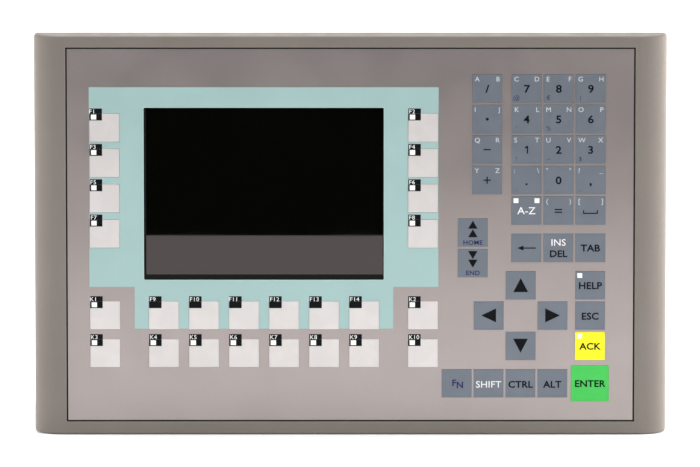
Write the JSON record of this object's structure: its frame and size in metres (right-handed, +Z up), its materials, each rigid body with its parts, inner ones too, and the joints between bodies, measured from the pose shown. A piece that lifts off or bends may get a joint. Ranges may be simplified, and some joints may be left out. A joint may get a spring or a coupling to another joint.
{
  "type": "hmi touch panel",
  "caption": "Panel-mount operator panel: display beside function, number, letter and cursor keys in a cast front, with electronics box, ports and clamping clips behind.",
  "frame": {"origin": "centre of the door cut-out, in the sealing plane at the rear face of the front", "axes": "+X to the operator's right, +Y from the operator into the cabinet, +Z up"},
  "size_m": [0.308, 0.0627, 0.204],
  "materials": {
    "front_paint": "satin paint on die-cast aluminium",
    "overlay_foil": "fine matt polyester foil",
    "window": "clear hard pane over a switched-off display",
    "strip_paper": "matt",
    "dome_steel": "bright",
    "board_green": "solder resist",
    "seal_rubber": "matt",
    "module_steel": "plated",
    "panel_glass": "polarised",
    "light_guide": "clear and white",
    "plate_steel": "zinc plated",
    "terminal_plastic": "moulded",
    "card_plastic": "moulded",
    "housing_steel": "galvanised sheet",
    "screw_steel": "zinc plated",
    "clip_metal": "die-cast",
    "key_plastic": "fine matt",
    "key_yellow": "fine matt",
    "key_green": "fine matt",
    "key_clear": "clear window over a paper label"
  },
  "bodies": {
    "panel": {"front_frame": "front_paint", "keypad_overlay": "overlay_foil", "display_window": "window", "label_strips": "strip_paper", "snap_domes": "dome_steel", "keypad_board": "board_green", "seals": "seal_rubber", "lcd_frame": "module_steel", "lcd_glass": "panel_glass", "backlight_unit": "light_guide", "inverter_board": "board_green", "support_plate": "plate_steel", "main_board": "board_green", "power_terminal": "terminal_plastic", "serial_port": "module_steel", "ethernet_port": "module_steel", "usb_port": "module_steel", "card_slot": "card_plastic", "rear_housing": "housing_steel", "housing_screws": "screw_steel", "mounting_clips": "clip_metal"},
    "key_divide_body": {"key_divide": "key_plastic"},
    "key_multiply_body": {"key_multiply": "key_plastic"},
    "key_minus_body": {"key_minus": "key_plastic"},
    "key_plus_body": {"key_plus": "key_plastic"},
    "key_7_body": {"key_7": "key_plastic"},
    "key_8_body": {"key_8": "key_plastic"},
    "key_9_body": {"key_9": "key_plastic"},
    "key_4_body": {"key_4": "key_plastic"},
    "key_5_body": {"key_5": "key_plastic"},
    "key_6_body": {"key_6": "key_plastic"},
    "key_1_body": {"key_1": "key_plastic"},
    "key_2_body": {"key_2": "key_plastic"},
    "key_3_body": {"key_3": "key_plastic"},
    "key_point_body": {"key_point": "key_plastic"},
    "key_0_body": {"key_0": "key_plastic"},
    "key_comma_body": {"key_comma": "key_plastic"},
    "key_letters_body": {"key_letters": "key_plastic"},
    "key_equals_body": {"key_equals": "key_plastic"},
    "key_space_body": {"key_space": "key_plastic"},
    "key_backspace_body": {"key_backspace": "key_plastic"},
    "key_insert_body": {"key_insert": "key_plastic"},
    "key_tab_body": {"key_tab": "key_plastic"},
    "key_home_body": {"key_home": "key_plastic"},
    "key_end_body": {"key_end": "key_plastic"},
    "key_up_body": {"key_up": "key_plastic"},
    "key_left_body": {"key_left": "key_plastic"},
    "key_right_body": {"key_right": "key_plastic"},
    "key_down_body": {"key_down": "key_plastic"},
    "key_help_body": {"key_help": "key_plastic"},
    "key_escape_body": {"key_escape": "key_plastic"},
    "key_acknowledge_body": {"key_acknowledge": "key_yellow"},
    "key_enter_body": {"key_enter": "key_green"},
    "key_function_body": {"key_function": "key_plastic"},
    "key_shift_body": {"key_shift": "key_plastic"},
    "key_control_body": {"key_control": "key_plastic"},
    "key_alternate_body": {"key_alternate": "key_plastic"},
    "f_keys_body": {"f_keys": "key_clear"},
    "k_keys_body": {"k_keys": "key_clear"},
    "clip_screws_body": {"clip_screws": "screw_steel"}
  },
  "joints": [
    {"name": "key_divide_press", "type": "slide", "parent": "panel", "child": "key_divide_body", "axis": [0, 1, 0], "range_m": [0, 0.0004], "stiffness_N_per_m": 6000},
    {"name": "key_multiply_press", "type": "slide", "parent": "panel", "child": "key_multiply_body", "axis": [0, 1, 0], "range_m": [0, 0.0004], "stiffness_N_per_m": 6000},
    {"name": "key_minus_press", "type": "slide", "parent": "panel", "child": "key_minus_body", "axis": [0, 1, 0], "range_m": [0, 0.0004], "stiffness_N_per_m": 6000},
    {"name": "key_plus_press", "type": "slide", "parent": "panel", "child": "key_plus_body", "axis": [0, 1, 0], "range_m": [0, 0.0004], "stiffness_N_per_m": 6000},
    {"name": "key_7_press", "type": "slide", "parent": "panel", "child": "key_7_body", "axis": [0, 1, 0], "range_m": [0, 0.0004], "stiffness_N_per_m": 6000},
    {"name": "key_8_press", "type": "slide", "parent": "panel", "child": "key_8_body", "axis": [0, 1, 0], "range_m": [0, 0.0004], "stiffness_N_per_m": 6000},
    {"name": "key_9_press", "type": "slide", "parent": "panel", "child": "key_9_body", "axis": [0, 1, 0], "range_m": [0, 0.0004], "stiffness_N_per_m": 6000},
    {"name": "key_4_press", "type": "slide", "parent": "panel", "child": "key_4_body", "axis": [0, 1, 0], "range_m": [0, 0.0004], "stiffness_N_per_m": 6000},
    {"name": "key_5_press", "type": "slide", "parent": "panel", "child": "key_5_body", "axis": [0, 1, 0], "range_m": [0, 0.0004], "stiffness_N_per_m": 6000},
    {"name": "key_6_press", "type": "slide", "parent": "panel", "child": "key_6_body", "axis": [0, 1, 0], "range_m": [0, 0.0004], "stiffness_N_per_m": 6000},
    {"name": "key_1_press", "type": "slide", "parent": "panel", "child": "key_1_body", "axis": [0, 1, 0], "range_m": [0, 0.0004], "stiffness_N_per_m": 6000},
    {"name": "key_2_press", "type": "slide", "parent": "panel", "child": "key_2_body", "axis": [0, 1, 0], "range_m": [0, 0.0004], "stiffness_N_per_m": 6000},
    {"name": "key_3_press", "type": "slide", "parent": "panel", "child": "key_3_body", "axis": [0, 1, 0], "range_m": [0, 0.0004], "stiffness_N_per_m": 6000},
    {"name": "key_point_press", "type": "slide", "parent": "panel", "child": "key_point_body", "axis": [0, 1, 0], "range_m": [0, 0.0004], "stiffness_N_per_m": 6000},
    {"name": "key_0_press", "type": "slide", "parent": "panel", "child": "key_0_body", "axis": [0, 1, 0], "range_m": [0, 0.0004], "stiffness_N_per_m": 6000},
    {"name": "key_comma_press", "type": "slide", "parent": "panel", "child": "key_comma_body", "axis": [0, 1, 0], "range_m": [0, 0.0004], "stiffness_N_per_m": 6000},
    {"name": "key_letters_press", "type": "slide", "parent": "panel", "child": "key_letters_body", "axis": [0, 1, 0], "range_m": [0, 0.0004], "stiffness_N_per_m": 6000},
    {"name": "key_equals_press", "type": "slide", "parent": "panel", "child": "key_equals_body", "axis": [0, 1, 0], "range_m": [0, 0.0004], "stiffness_N_per_m": 6000},
    {"name": "key_space_press", "type": "slide", "parent": "panel", "child": "key_space_body", "axis": [0, 1, 0], "range_m": [0, 0.0004], "stiffness_N_per_m": 6000},
    {"name": "key_backspace_press", "type": "slide", "parent": "panel", "child": "key_backspace_body", "axis": [0, 1, 0], "range_m": [0, 0.0004], "stiffness_N_per_m": 6000},
    {"name": "key_insert_press", "type": "slide", "parent": "panel", "child": "key_insert_body", "axis": [0, 1, 0], "range_m": [0, 0.0004], "stiffness_N_per_m": 6000},
    {"name": "key_tab_press", "type": "slide", "parent": "panel", "child": "key_tab_body", "axis": [0, 1, 0], "range_m": [0, 0.0004], "stiffness_N_per_m": 6000},
    {"name": "key_home_press", "type": "slide", "parent": "panel", "child": "key_home_body", "axis": [0, 1, 0], "range_m": [0, 0.0004], "stiffness_N_per_m": 6000},
    {"name": "key_end_press", "type": "slide", "parent": "panel", "child": "key_end_body", "axis": [0, 1, 0], "range_m": [0, 0.0004], "stiffness_N_per_m": 6000},
    {"name": "key_up_press", "type": "slide", "parent": "panel", "child": "key_up_body", "axis": [0, 1, 0], "range_m": [0, 0.0004], "stiffness_N_per_m": 6000},
    {"name": "key_left_press", "type": "slide", "parent": "panel", "child": "key_left_body", "axis": [0, 1, 0], "range_m": [0, 0.0004], "stiffness_N_per_m": 6000},
    {"name": "key_right_press", "type": "slide", "parent": "panel", "child": "key_right_body", "axis": [0, 1, 0], "range_m": [0, 0.0004], "stiffness_N_per_m": 6000},
    {"name": "key_down_press", "type": "slide", "parent": "panel", "child": "key_down_body", "axis": [0, 1, 0], "range_m": [0, 0.0004], "stiffness_N_per_m": 6000},
    {"name": "key_help_press", "type": "slide", "parent": "panel", "child": "key_help_body", "axis": [0, 1, 0], "range_m": [0, 0.0004], "stiffness_N_per_m": 6000},
    {"name": "key_escape_press", "type": "slide", "parent": "panel", "child": "key_escape_body", "axis": [0, 1, 0], "range_m": [0, 0.0004], "stiffness_N_per_m": 6000},
    {"name": "key_acknowledge_press", "type": "slide", "parent": "panel", "child": "key_acknowledge_body", "axis": [0, 1, 0], "range_m": [0, 0.0004], "stiffness_N_per_m": 6000},
    {"name": "key_enter_press", "type": "slide", "parent": "panel", "child": "key_enter_body", "axis": [0, 1, 0], "range_m": [0, 0.0004], "stiffness_N_per_m": 6000},
    {"name": "key_function_press", "type": "slide", "parent": "panel", "child": "key_function_body", "axis": [0, 1, 0], "range_m": [0, 0.0004], "stiffness_N_per_m": 6000},
    {"name": "key_shift_press", "type": "slide", "parent": "panel", "child": "key_shift_body", "axis": [0, 1, 0], "range_m": [0, 0.0004], "stiffness_N_per_m": 6000},
    {"name": "key_control_press", "type": "slide", "parent": "panel", "child": "key_control_body", "axis": [0, 1, 0], "range_m": [0, 0.0004], "stiffness_N_per_m": 6000},
    {"name": "key_alternate_press", "type": "slide", "parent": "panel", "child": "key_alternate_body", "axis": [0, 1, 0], "range_m": [0, 0.0004], "stiffness_N_per_m": 6000},
    {"name": "f_keys_press", "type": "slide", "parent": "panel", "child": "f_keys_body", "axis": [0, 1, 0], "range_m": [0, 0.0004], "stiffness_N_per_m": 60000},
    {"name": "k_keys_press", "type": "slide", "parent": "panel", "child": "k_keys_body", "axis": [0, 1, 0], "range_m": [0, 0.0004], "stiffness_N_per_m": 60000},
    {"name": "clip_screws_clamp", "type": "slide", "parent": "panel", "child": "clip_screws_body", "axis": [0, -1, 0], "range_m": [0, 0.004]}
  ]
}
